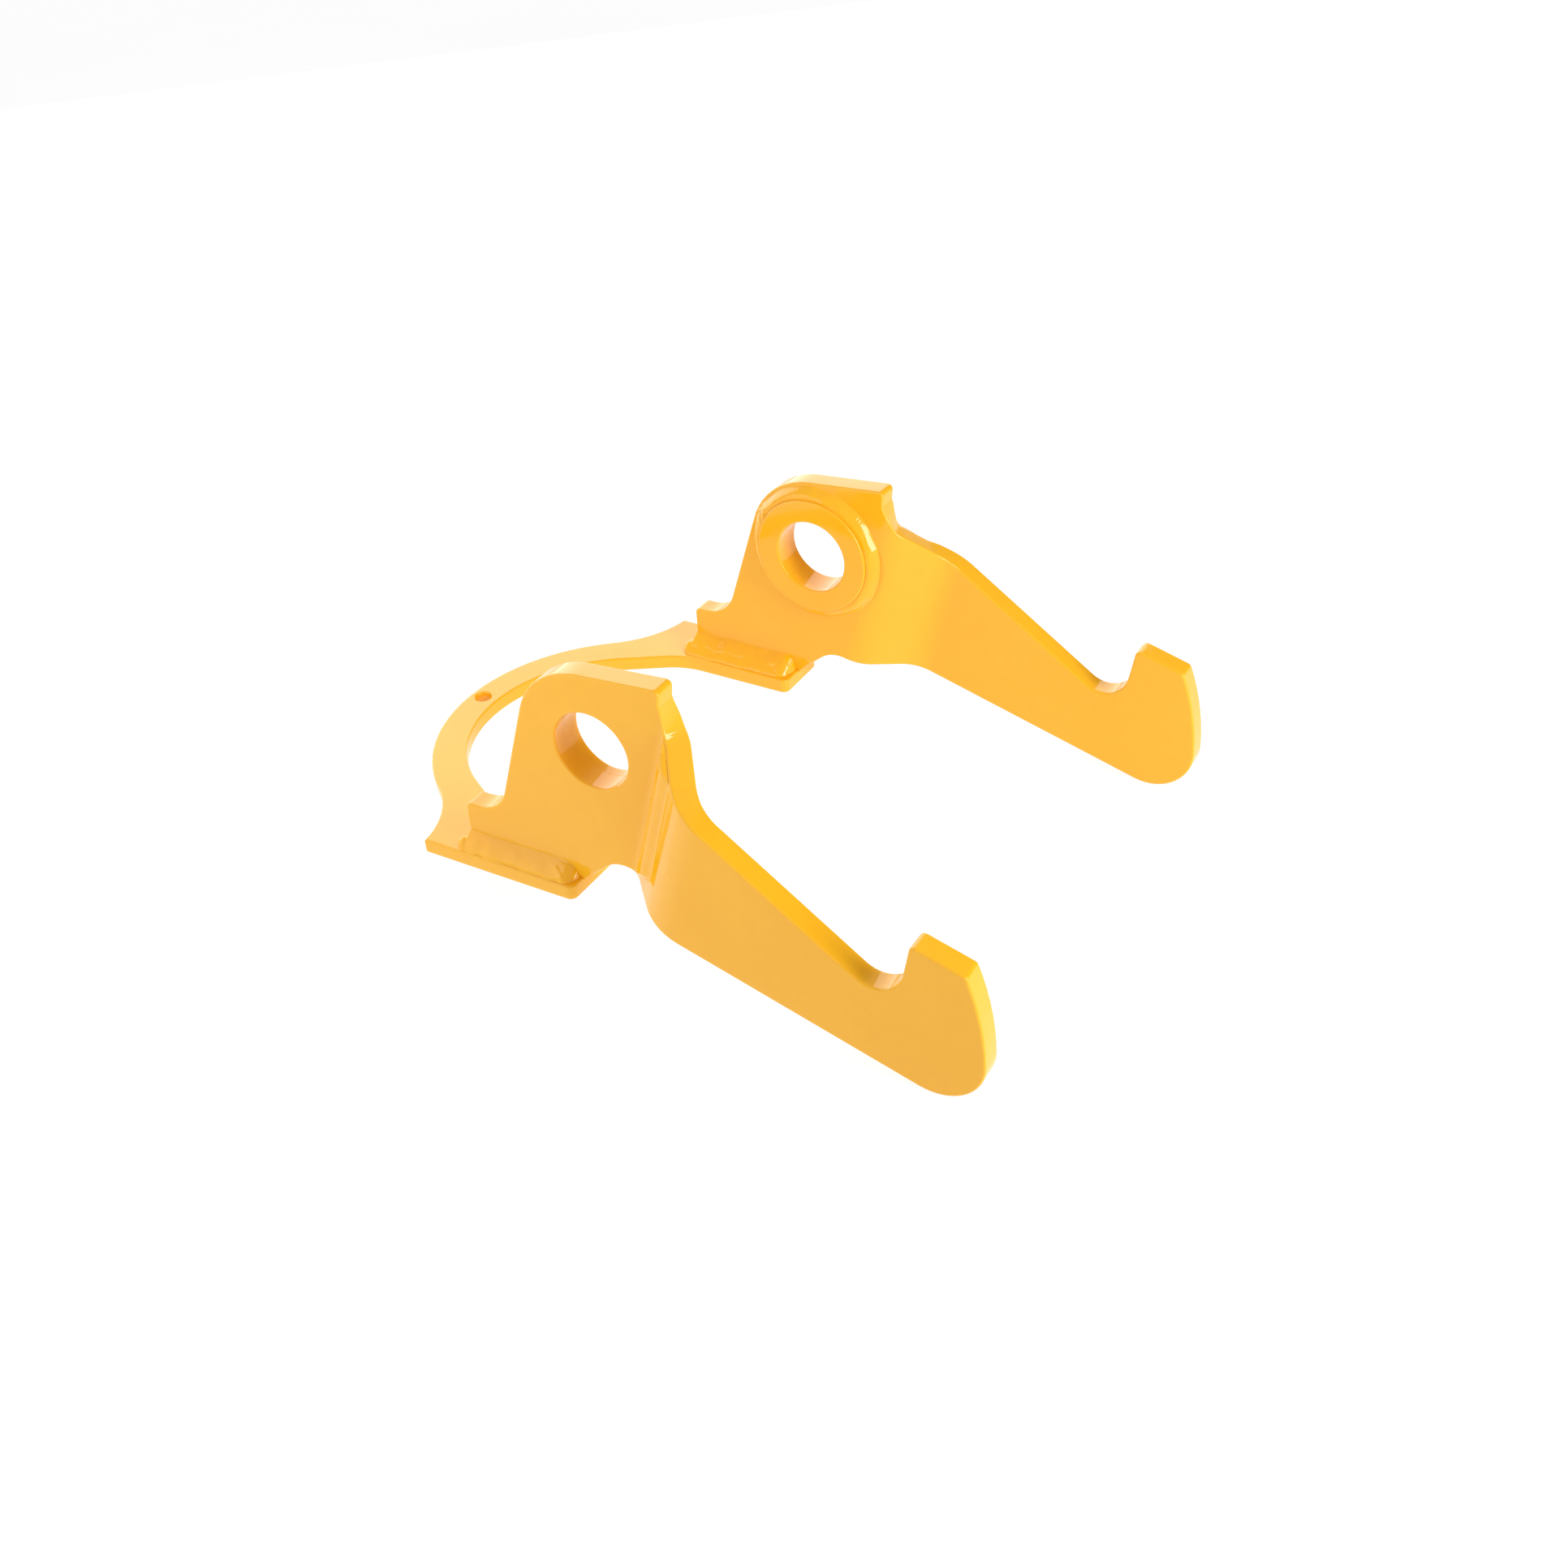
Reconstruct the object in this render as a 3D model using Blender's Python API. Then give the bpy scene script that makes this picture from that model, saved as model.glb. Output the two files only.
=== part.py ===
"""Twin-hook locking lever: two jogged hook arms welded to a horseshoe yoke plate.

Frame: +X points to the hooks, +Z is up, and the XZ plane is the plane of symmetry. Shapes are
drawn from the middle of the pivot axis, in millimetres, and MM turns them into metres. They
hang from one empty, which puts the origin in the middle of the underside of the bounding box.
The word side stands for -1 on the right arm (-Y) and +1 on the left arm (+Y).
"""

import math

import bmesh
import bpy
from mathutils import Vector

MM = 0.001
GAP = 0.3  # left open between pieces that touch on the real weldment

# Side plates: a pivot head, a jog that steps the plate outward, an arm and a hook.
PLATE = 12.0  # plate thickness
HEAD_INNER = 98.0  # inner face of the head, measured from the plane of symmetry
JOG_STEP = 24.8  # how far the arm stands outside the head
JOG_START = 30.5  # where the first bend begins, along the arm's lower edge
JOG_ANGLE = math.radians(45.0)
JOG_RADIUS_IN = 15.6  # mid-plane radius of the bend next to the head
JOG_RADIUS_OUT = 27.4  # mid-plane radius of the bend next to the arm
BEND_STEPS = 7
EDGE_ROUND = 1.1  # rounding of every cut edge
EDGE_STEPS = 3

# Pivot eye
BORE_RADIUS = 20.0
EYE_RADIUS = 40.0
BOSS_RADIUS = 32.3
BOSS_HEIGHT = 6.0
BOSS_WELD_LEG = 5.0

# Cut outline of the side plates: points are (x, z)
CORNER_RADIUS = 2.8
EDGE_TURN_RADIUS = 8.0
HEAD_BACK_LEAN = math.radians(19.0)  # of the head's back edge, from vertical
HEAD_TOP_RISE = math.radians(4.2)  # of the head's top edge, from level
HEAD_FRONT_X = 41.6
HEAD_NOTCH = (40.6, 34.6)  # the notch under the head's front corner
HEAD_THROAT = (44.8, 21.1)  # where the front edge turns forward
JOG_CREST = (57.5, 4.7)  # where the front edge turns down again, on the jog
ARM_TOP_START_X = 64.1
FOOT_BACK_X = -82.0
FOOT_TOP_Z = -53.7
FOOT_FRONT_X = -14.5
FOOT_FRONT_SLOPE = math.radians(40.2)  # of the edge from the foot up to the relief
FOOT_STEP_RADIUS = 20.0  # between the foot and the head's back edge
RELIEF_RADIUS = 17.2  # of the arch between the foot and the arm
ARM_BOTTOM_SLOPE = math.radians(16.3)  # the lower edge falls towards the hook
ARM_BOTTOM_DISTANCE = 56.1  # from the pivot axis to the lower edge
ARM_TOP_SLOPE = math.radians(35.1)
ARM_TOP_DISTANCE = 36.2  # from the pivot axis to the upper edge
LATCH_RADIUS = 15.0  # the seat for the latched pin
HOOK_BACK_LEAN = math.radians(11.6)
HOOK_BACK_POINT = (169.0, -50.0)
HOOK_TOP_BACK = (172.7, -30.7)
HOOK_TOP_FRONT = (198.7, -38.4)
NOSE_RADIUS = 135.0  # of the hook's front edge
HEEL_RADIUS = 25.0  # of the round under the hook
HEEL_X = 182.8

# Yoke plate
YOKE_TOP_Z = -78.0
YOKE_PLATE = 8.0
YOKE_FRONT_X = -15.9
YOKE_OUTER_Y = 118.9
YOKE_INNER_Y = 84.4
YOKE_OUTER_CENTRE_X = -71.4
YOKE_OUTER_RADIUS = 98.1
YOKE_INNER_CENTRE_X = -75.4
YOKE_INNER_RADIUS = 76.6
YOKE_FLARE_RADIUS = 58.0
YOKE_FLARE_CORNER_X = -105.5
YOKE_EAR_TURN = math.radians(31.0)  # of the straight run between the inner arc and the inner side
YOKE_EAR_RADIUS = 40.0
YOKE_FRONT_RADIUS = 4.0
HOLE_X = -161.5
HOLE_RADIUS = 4.5

# Fillet welds
WELD_ENDS = (-88.5, -17.5)  # along X
WELD_RISE_OUTER = 7.5
WELD_REACH_OUTER = 8.0
WELD_RISE_INNER = 8.5
WELD_REACH_INNER = 12.0
WELD_STATIONS = 20
WELD_FACE_STEPS = 4
WELD_CROWN = 0.9  # how far a fillet's face bulges
WELD_TOE = 0.3  # thickness of a bead at its edge
WELD_TIP = 0.25  # size of a bead at its two ends, of its full size
WELD_BACK_TAPER = 0.16  # lengths of the two tapered ends, of the bead's length
WELD_FRONT_TAPER = 0.07
JOG_WELD_TOES = (37.0, 53.2)  # along the arm's lower edge, on the plate's outer face
JOG_WELD_LOW = (-54.5, -39.0)  # height of the bead's lower end at each toe, square to that edge
JOG_WELD_HIGH = (31.2, 19.8)  # and of its upper end
JOG_WELD_CROWN = 3.4
JOG_WELD_FACE_STEPS = 8

PAINT = (0.89, 0.47, 0.05, 1.0)
WELD_PAINT = (0.86, 0.43, 0.04, 1.0)
PAINT_ROUGHNESS = 0.3

CHORD_ERROR = 0.05  # between a chord and its arc
ROUND_SEGMENTS = 60


def blend(pair, share):
    """A value between the two of a pair."""
    return pair[0] + (pair[1] - pair[0]) * share


def meet(point_a, angle_a, point_b, angle_b):
    """The crossing of two lines, each given by a point on it and its direction angle."""
    ax, az = math.cos(angle_a), math.sin(angle_a)
    bx, bz = math.cos(angle_b), math.sin(angle_b)
    dx, dz = point_b[0] - point_a[0], point_b[1] - point_a[1]
    along = (dx * bz - dz * bx) / (ax * bz - az * bx)
    return point_a[0] + ax * along, point_a[1] + az * along


def arc(centre, radius, start, end):
    """Points on an arc from one angle to another, in either direction."""
    step = 2 * math.acos(1 - min(CHORD_ERROR / radius, 0.05))
    steps = max(2, math.ceil(abs(end - start) / step))
    angles = [start + (end - start) * i / steps for i in range(steps + 1)]
    return [(centre[0] + radius * math.cos(a), centre[1] + radius * math.sin(a)) for a in angles]


def rounded(corners):
    """A closed outline from (x, y, radius) corners, each rounded by an arc tangent to both sides."""
    outline = []
    for i, (x, y, radius) in enumerate(corners):
        here = Vector((x, y))
        before = (Vector(corners[i - 1][:2]) - here).normalized()
        after = (Vector(corners[(i + 1) % len(corners)][:2]) - here).normalized()
        if radius == 0:
            outline.append((x, y))
            continue
        half = before.angle(after) / 2
        centre = here + (before + after).normalized() * (radius / math.sin(half))
        first = here + before * (radius / math.tan(half)) - centre
        last = here + after * (radius / math.tan(half)) - centre
        start = math.atan2(first.y, first.x)
        turn = (math.atan2(last.y, last.x) - start + math.pi) % (2 * math.pi) - math.pi
        outline.extend(arc(centre, radius, start, start + turn))
    return outline


def inset(outline, distance):
    """A clockwise outline moved inward, each point along the bisector of its two sides."""
    moved = []
    for i, point in enumerate(outline):
        here = Vector(point)
        arriving = (here - Vector(outline[i - 1])).normalized()
        leaving = (Vector(outline[(i + 1) % len(outline)]) - here).normalized()
        bisector = (arriving + leaving).normalized()
        inward = Vector((bisector.y, -bisector.x))
        stretch = max(0.5, bisector.dot(leaving))
        moved.append(tuple(here + inward * (distance / stretch)))
    return moved


def edge_levels(thickness):
    """(height, inset) pairs from one face to the other that round both edges."""
    quarter = [math.pi / 2 * i / EDGE_STEPS for i in range(EDGE_STEPS + 1)]
    lower = [(EDGE_ROUND * (1 - math.sin(a)), EDGE_ROUND * (1 - math.cos(a))) for a in quarter[::-1]]
    upper = [(thickness - height, depth) for height, depth in lower[::-1]]
    return lower + upper


def loft(bm, loops):
    """A closed solid through loops of equal length, capped at both ends."""
    rings = [[bm.verts.new(point) for point in loop] for loop in loops]
    for ring, following in zip(rings, rings[1:]):
        for i in range(len(ring)):
            j = (i + 1) % len(ring)
            bm.faces.new((ring[i], ring[j], following[j], following[i]))
    bm.faces.new(rings[0][::-1])
    bm.faces.new(rings[-1])


def ring_loft(bm, loops):
    """A closed ring through loops of equal length, the last joined to the first."""
    rings = [[bm.verts.new(point) for point in loop] for loop in loops]
    for k, ring in enumerate(rings):
        following = rings[(k + 1) % len(rings)]
        for i in range(len(ring)):
            j = (i + 1) % len(ring)
            bm.faces.new((ring[i], ring[j], following[j], following[i]))


def paint(name, colour):
    """Gloss paint on steel."""
    material = bpy.data.materials.new(name + "_paint")
    material.use_nodes = True
    shader = material.node_tree.nodes["Principled BSDF"]
    shader.inputs["Base Color"].default_value = colour
    shader.inputs["Roughness"].default_value = PAINT_ROUGHNESS
    shader.inputs["Metallic"].default_value = 0.0
    return material


def finish(bm, name, colour):
    """The object for a mesh built in millimetres, with its faces pointing out."""
    bmesh.ops.recalc_face_normals(bm, faces=bm.faces)
    if bm.calc_volume(signed=True) < 0:
        bmesh.ops.reverse_faces(bm, faces=bm.faces)
    bmesh.ops.scale(bm, vec=(MM, MM, MM), verts=bm.verts)
    mesh = bpy.data.meshes.new(name)
    bm.to_mesh(mesh)
    bm.free()
    mesh.shade_smooth()
    mesh.set_sharp_from_angle(angle=math.radians(35))
    mesh.materials.append(paint(name, colour))
    piece = bpy.data.objects.new(name, mesh)
    bpy.context.collection.objects.link(piece)
    return piece


def cut_hole(piece, centre, axis, radius, faces, widened):
    """Cut a round hole along Y or Z through a plate.

    faces holds the two coordinates along the axis where the plate's faces lie, lower first.
    widened holds those of them where the hole's edge is rounded.
    """
    proud = 2.0

    def mouth(face, outward):
        """(coordinate, radius) pairs from outside the plate to the hole's straight wall."""
        if face not in widened:
            return [(face + outward * proud, radius)]
        pairs = [(face + outward * proud, radius + EDGE_ROUND)]
        for i in range(EDGE_STEPS + 1):
            angle = math.pi / 2 * i / EDGE_STEPS
            deep = EDGE_ROUND * (1 - math.cos(angle))
            pairs.append((face - outward * deep, radius + EDGE_ROUND * (1 - math.sin(angle))))
        return pairs

    profile = mouth(faces[0], -1) + mouth(faces[1], 1)[::-1]
    loops = []
    for along, wide in profile:
        loop = []
        for k in range(ROUND_SEGMENTS):
            turn = 2 * math.pi * k / ROUND_SEGMENTS
            across, up = wide * math.cos(turn), wide * math.sin(turn)
            offset = (across, along, up) if axis == "Y" else (across, up, along)
            loop.append(Vector(centre) + Vector(offset))
        loops.append(loop)
    bm = bmesh.new()
    loft(bm, loops)
    cutter = finish(bm, piece.name + "_cutter", PAINT)
    cutter.hide_render = True
    cutter.display_type = "WIRE"
    cut = piece.modifiers.new("hole", "BOOLEAN")
    cut.operation = "DIFFERENCE"
    cut.solver = "EXACT"
    cut.object = cutter


def along_arm(x, z):
    """(x, z) as a distance along the arm's lower edge and a height square to it."""
    c, s = math.cos(ARM_BOTTOM_SLOPE), math.sin(ARM_BOTTOM_SLOPE)
    return x * c - z * s, x * s + z * c


def from_arm(along, height):
    """The reverse of along_arm."""
    c, s = math.cos(ARM_BOTTOM_SLOPE), math.sin(ARM_BOTTOM_SLOPE)
    return along * c + height * s, -along * s + height * c


def bend_points():
    """Distances along the arm where the two bends of the jog begin and end."""
    rise_in_bends = (JOG_RADIUS_IN + JOG_RADIUS_OUT) * (1 - math.cos(JOG_ANGLE))
    ramp = (JOG_STEP - rise_in_bends) / math.tan(JOG_ANGLE)
    first_end = JOG_START + JOG_RADIUS_IN * math.sin(JOG_ANGLE)
    second_start = first_end + ramp
    return JOG_START, first_end, second_start, second_start + JOG_RADIUS_OUT * math.sin(JOG_ANGLE)


def jog(along):
    """The outward shift and the slope angle of the plate's mid-plane at a distance along the arm."""
    start, first_end, second_start, end = bend_points()
    if along <= start:
        return 0.0, 0.0
    if along <= first_end:
        slope = math.asin((along - start) / JOG_RADIUS_IN)
        return JOG_RADIUS_IN * (1 - math.cos(slope)), slope
    if along <= second_start:
        rise = JOG_RADIUS_IN * (1 - math.cos(JOG_ANGLE))
        return rise + (along - first_end) * math.tan(JOG_ANGLE), JOG_ANGLE
    if along < end:
        slope = math.asin((end - along) / JOG_RADIUS_OUT)
        return JOG_STEP - JOG_RADIUS_OUT * (1 - math.cos(slope)), slope
    return JOG_STEP, 0.0


def on_plate(along, height, lift, side):
    """A point of the bent plate, lift above its mid-plane on the outer side."""
    shift, slope = jog(along)
    x, z = from_arm(along - lift * math.sin(slope), height)
    outward = HEAD_INNER + PLATE / 2 + shift + lift * math.cos(slope)
    return Vector((x, side * outward, z))


def plate_outline():
    """The side plate's cut outline in XZ, clockwise from the foot's lower back corner."""
    foot_z = YOKE_TOP_Z + GAP
    back_angle = math.pi / 2 - HEAD_BACK_LEAN
    back_point = (-EYE_RADIUS * math.cos(HEAD_BACK_LEAN), EYE_RADIUS * math.sin(HEAD_BACK_LEAN))
    top_point = (-EYE_RADIUS * math.sin(HEAD_TOP_RISE), EYE_RADIUS * math.cos(HEAD_TOP_RISE))
    arm_top_point = (
        ARM_TOP_DISTANCE * math.sin(ARM_TOP_SLOPE),
        ARM_TOP_DISTANCE * math.cos(ARM_TOP_SLOPE),
    )
    arm_bottom_point = (
        -ARM_BOTTOM_DISTANCE * math.sin(ARM_BOTTOM_SLOPE),
        -ARM_BOTTOM_DISTANCE * math.cos(ARM_BOTTOM_SLOPE),
    )
    foot_step = meet((FOOT_BACK_X, FOOT_TOP_Z), 0.0, back_point, back_angle)
    eye = meet(back_point, back_angle, top_point, HEAD_TOP_RISE)
    nub = meet(top_point, HEAD_TOP_RISE, (HEAD_FRONT_X, 0.0), math.pi / 2)
    latch = meet(arm_top_point, -ARM_TOP_SLOPE, HOOK_BACK_POINT, math.pi / 2 - HOOK_BACK_LEAN)
    arm_start = meet(arm_top_point, -ARM_TOP_SLOPE, (ARM_TOP_START_X, 0.0), math.pi / 2)
    relief = meet(arm_bottom_point, -ARM_BOTTOM_SLOPE, (FOOT_FRONT_X, foot_z), FOOT_FRONT_SLOPE)
    corners = [
        (FOOT_BACK_X, foot_z, 0),
        (FOOT_BACK_X, FOOT_TOP_Z, CORNER_RADIUS),
        (*foot_step, FOOT_STEP_RADIUS),
        (*eye, EYE_RADIUS),
        (*nub, CORNER_RADIUS),
        (*HEAD_NOTCH, CORNER_RADIUS),
        (*HEAD_THROAT, EDGE_TURN_RADIUS),
        (*JOG_CREST, EDGE_TURN_RADIUS),
        (*arm_start, EDGE_TURN_RADIUS),
        (*latch, LATCH_RADIUS),
        (*HOOK_TOP_BACK, CORNER_RADIUS),
        (*HOOK_TOP_FRONT, CORNER_RADIUS),
        *nose_points(),
        (*relief, RELIEF_RADIUS),
        (FOOT_FRONT_X, foot_z, 0),
    ]
    return rounded(corners)


def nose_points():
    """The hook's front edge and heel: two arcs that touch, the second ending on the arm's lower edge."""
    square = -math.pi / 2 - ARM_BOTTOM_SLOPE
    heel_depth = ARM_BOTTOM_DISTANCE - HEEL_RADIUS
    heel_z = (heel_depth - HEEL_X * math.cos(square)) / math.sin(square)
    heel = Vector((HEEL_X, heel_z))
    to_top = Vector(HOOK_TOP_FRONT) - heel
    apart = NOSE_RADIUS - HEEL_RADIUS
    cosine = (apart**2 + to_top.length**2 - NOSE_RADIUS**2) / (2 * apart * to_top.length)
    bearing = math.atan2(to_top.y, to_top.x) + math.acos(cosine)
    centre = heel + apart * Vector((math.cos(bearing), math.sin(bearing)))
    start = math.atan2(HOOK_TOP_FRONT[1] - centre.y, HOOK_TOP_FRONT[0] - centre.x)
    touch = bearing - math.pi
    nose = arc(centre, NOSE_RADIUS, start, touch)[1:-1]
    return [(x, z, 0) for x, z in nose + arc(heel, HEEL_RADIUS, touch, square)]


def bend_stations():
    """Distances along the arm where the plate is creased to follow its bends."""
    start, first_end, second_start, end = bend_points()
    first = [JOG_ANGLE * i / BEND_STEPS for i in range(BEND_STEPS + 1)]
    stations = [start + JOG_RADIUS_IN * math.sin(a) for a in first]
    stations += [end - JOG_RADIUS_OUT * math.sin(a) for a in first[::-1]]
    return stations


def hook_arm(name, side):
    """One side plate: the cut outline made solid, creased at the bends and folded to the jog."""
    outline = plate_outline()
    loops = []
    for height, depth in edge_levels(PLATE):
        shrunk = inset(outline, depth)
        loops.append([Vector((x, height - PLATE / 2, z)) for x, z in shrunk])
    bm = bmesh.new()
    loft(bm, loops)
    crease = Vector((math.cos(ARM_BOTTOM_SLOPE), 0, -math.sin(ARM_BOTTOM_SLOPE)))
    for station in bend_stations():
        everything = bm.verts[:] + bm.edges[:] + bm.faces[:]
        bmesh.ops.bisect_plane(bm, geom=everything, plane_co=crease * station, plane_no=crease)
    for vert in bm.verts:
        along, height = along_arm(vert.co.x, vert.co.z)
        vert.co = on_plate(along, height, vert.co.y, side)
    arm = finish(bm, name, PAINT)
    # The bore's inner edge stays square, because the boss continues the bore there.
    inner, outer = side * HEAD_INNER, side * (HEAD_INNER + PLATE)
    cut_hole(arm, (0, 0, 0), "Y", BORE_RADIUS, sorted((inner, outer)), (outer,))
    return arm


def revolve_about_pivot(name, profile, side, colour):
    """A ring about the pivot axis from (radius, distance off the head's inner face) pairs."""
    loops = []
    for k in range(ROUND_SEGMENTS):
        turn = 2 * math.pi * k / ROUND_SEGMENTS
        loop = []
        for radius, off in profile:
            y = side * (HEAD_INNER - off)
            loop.append(Vector((radius * math.cos(turn), y, radius * math.sin(turn))))
        loops.append(loop)
    bm = bmesh.new()
    ring_loft(bm, loops)
    return finish(bm, name, colour)


def pivot_boss(name, side):
    """A thick ring on the inner face of the head that lengthens the bore."""
    top = GAP + BOSS_HEIGHT
    profile = [(BORE_RADIUS, GAP), (BOSS_RADIUS, GAP)]
    for i in range(EDGE_STEPS + 1):
        angle = math.pi / 2 * i / EDGE_STEPS
        out = BOSS_RADIUS - EDGE_ROUND * (1 - math.cos(angle))
        profile.append((out, top - EDGE_ROUND * (1 - math.sin(angle))))
    for i in range(EDGE_STEPS + 1):
        angle = math.pi / 2 * (1 - i / EDGE_STEPS)
        inn = BORE_RADIUS + EDGE_ROUND * (1 - math.cos(angle))
        profile.append((inn, top - EDGE_ROUND * (1 - math.sin(angle))))
    return revolve_about_pivot(name, profile, side, PAINT)


def boss_weld(name, side):
    """The fillet weld bead in the corner around the boss, its face slightly full."""
    inner = BOSS_RADIUS + GAP
    profile = [(inner, GAP), (inner + BOSS_WELD_LEG, GAP)]
    for k in range(WELD_FACE_STEPS + 1):
        s = k / WELD_FACE_STEPS
        full = WELD_CROWN * math.sin(math.pi * s)
        out = inner + BOSS_WELD_LEG * (1 - s) + full
        profile.append((out, GAP + WELD_TOE + (BOSS_WELD_LEG - WELD_TOE) * s + full))
    return revolve_about_pivot(name, profile, side, WELD_PAINT)


def yoke_outline():
    """The horseshoe's outline in XY, clockwise seen from above."""
    outer_centre = (YOKE_OUTER_CENTRE_X, 0.0)
    corner = Vector((YOKE_FLARE_CORNER_X, YOKE_OUTER_Y))
    to_corner = corner - Vector(outer_centre)
    # The flare arc touches the outer arc from outside and ends at the ear's corner.
    reach = YOKE_OUTER_RADIUS + YOKE_FLARE_RADIUS
    cosine = (reach**2 + to_corner.length**2 - YOKE_FLARE_RADIUS**2) / (2 * reach * to_corner.length)
    flare_bearing = math.atan2(to_corner.y, to_corner.x) + math.acos(cosine)
    flare_centre = (
        YOKE_OUTER_CENTRE_X + reach * math.cos(flare_bearing),
        reach * math.sin(flare_bearing),
    )
    flare_start = math.atan2(corner.y - flare_centre[1], corner.x - flare_centre[0])
    flare_end = flare_bearing - math.pi
    outer = arc(outer_centre, YOKE_OUTER_RADIUS, flare_bearing, math.pi)
    flare = arc(flare_centre, YOKE_FLARE_RADIUS, flare_start, flare_end)
    # The inner arc ends where it runs straight into the ear's inner side.
    inner_turn = math.pi / 2 + YOKE_EAR_TURN
    inner_centre = (YOKE_INNER_CENTRE_X, 0.0)
    inner = arc(inner_centre, YOKE_INNER_RADIUS, math.pi, inner_turn)
    tangent_x = YOKE_INNER_CENTRE_X + YOKE_INNER_RADIUS * math.cos(inner_turn)
    tangent_y = YOKE_INNER_RADIUS * math.sin(inner_turn)
    ear = meet((tangent_x, tangent_y), YOKE_EAR_TURN, (0.0, YOKE_INNER_Y), 0.0)
    tangent_length = YOKE_EAR_RADIUS * math.tan(YOKE_EAR_TURN / 2)
    ear_centre = (ear[0] + tangent_length, YOKE_INNER_Y - YOKE_EAR_RADIUS)
    fillet = arc(ear_centre, YOKE_EAR_RADIUS, inner_turn, math.pi / 2)
    front = YOKE_FRONT_RADIUS
    outer_front = (YOKE_FRONT_X - front, YOKE_OUTER_Y - front)
    inner_front = (YOKE_FRONT_X - front, YOKE_INNER_Y + front)
    half = [*outer[::-1], *flare[-2::-1]]
    half += arc(outer_front, front, math.pi / 2, 0.0)
    half += arc(inner_front, front, 0.0, -math.pi / 2)
    half += [*fillet[::-1], *inner[::-1]]
    mirrored = [(x, -y) for x, y in half[::-1]]
    return half + mirrored[1:-1]


def yoke_plate():
    """The horseshoe plate that the two heads stand on, with a small hole at its back."""
    outline = yoke_outline()
    floor = YOKE_TOP_Z - YOKE_PLATE
    loops = []
    for height, depth in edge_levels(YOKE_PLATE):
        loops.append([Vector((x, y, floor + height)) for x, y in inset(outline, depth)])
    bm = bmesh.new()
    loft(bm, loops)
    plate = finish(bm, "yoke_plate", PAINT)
    faces = (floor, YOKE_TOP_Z)
    cut_hole(plate, (HOLE_X, 0, 0), "Z", HOLE_RADIUS, faces, faces)
    return plate


def yoke_weld(name, side, outward):
    """The fillet weld along the foot of a head; outward is +1 on its outer face, -1 on its inner."""
    if outward > 0:
        wall = HEAD_INNER + PLATE + GAP
        rise, reach = WELD_RISE_OUTER, WELD_REACH_OUTER
    else:
        wall = HEAD_INNER - GAP
        rise, reach = WELD_RISE_INNER, WELD_REACH_INNER
    floor = YOKE_TOP_Z + GAP
    loops = []
    for i in range(WELD_STATIONS + 1):
        t = i / WELD_STATIONS
        x = blend(WELD_ENDS, t)
        # A long taper at the back end and a blunt round one at the front.
        back = min(1.0, t / WELD_BACK_TAPER)
        front = max(0.0, 1 - (1 - t) / WELD_FRONT_TAPER)
        size = WELD_TIP + (1 - WELD_TIP) * min(math.sin(math.pi / 2 * back), math.sqrt(1 - front**2))
        high, wide = rise * size, reach * size
        section = [(0.0, 0.0), (wide, 0.0)]
        for k in range(WELD_FACE_STEPS + 1):
            s = k / WELD_FACE_STEPS
            full = WELD_CROWN * size * math.sin(math.pi * s)
            section.append((wide * (1 - s) + full, WELD_TOE + (high - WELD_TOE) * s + full))
        loops.append([Vector((x, side * (wall + outward * off), floor + up)) for off, up in section])
    bm = bmesh.new()
    loft(bm, loops)
    return finish(bm, name, WELD_PAINT)


def jog_weld(name, side):
    """The bead that fills the outer corner of the jog, from the plate's lower edge to its front."""
    face = PLATE / 2 + GAP
    loops = []
    for j in range(WELD_STATIONS + 1):
        r = j / WELD_STATIONS
        # Thinner at its lower end, and cut off square at the plate's front.
        low_end = min(1.0, r / WELD_FRONT_TAPER)
        size = 0.5 + 0.5 * math.sin(math.pi / 2 * low_end)
        under, top = [], []
        for k in range(JOG_WELD_FACE_STEPS + 1):
            s = k / JOG_WELD_FACE_STEPS
            along = blend(JOG_WELD_TOES, s)
            height = blend((blend(JOG_WELD_LOW, s), blend(JOG_WELD_HIGH, s)), r)
            thick = WELD_TOE + JOG_WELD_CROWN * size * math.sin(math.pi * s)
            under.append(on_plate(along, height, face, side))
            top.append(on_plate(along, height, face + thick, side))
        loops.append(top + under[::-1])
    bm = bmesh.new()
    loft(bm, loops)
    return finish(bm, name, WELD_PAINT)


def place_pivot():
    """Hang every piece from an empty at the middle of the pivot axis."""
    plate, yoke = plate_outline(), yoke_outline()
    middle_x = (max(x for x, z in plate) + min(x for x, y in yoke)) / 2
    lowest_z = min(z for x, z in plate)
    pivot = bpy.data.objects.new("pivot", None)
    pivot.location = Vector((-middle_x, 0, -lowest_z)) * MM
    pieces = list(bpy.data.objects)
    bpy.context.collection.objects.link(pivot)
    for piece in pieces:
        if piece is not pivot:
            piece.parent = pivot


def main():
    for old in list(bpy.data.objects):
        bpy.data.objects.remove(old, do_unlink=True)
    yoke_plate()
    for side, label in ((-1, "right"), (1, "left")):
        hook_arm("hook_arm_" + label, side)
        pivot_boss("pivot_boss_" + label, side)
        boss_weld("boss_weld_" + label, side)
        jog_weld("jog_weld_" + label, side)
        yoke_weld("yoke_weld_outer_" + label, side, 1)
        yoke_weld("yoke_weld_inner_" + label, side, -1)
    place_pivot()


main()
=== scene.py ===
"""The looks of the twin-hook locking lever: painted plates and modelled weld beads.

The plates and bosses are the frame's own nodes with a shading modifier and a gloss paint. The
weld beads are built here, as fine meshes whose edges run into the plates. Lengths are in metres.
The word side stands for -1 on the right arm (-Y) and +1 on the left arm (+Y).
"""

import math

import bmesh
import bpy
from mathutils import Matrix, Vector, noise
from mathutils.bvhtree import BVHTree


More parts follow.
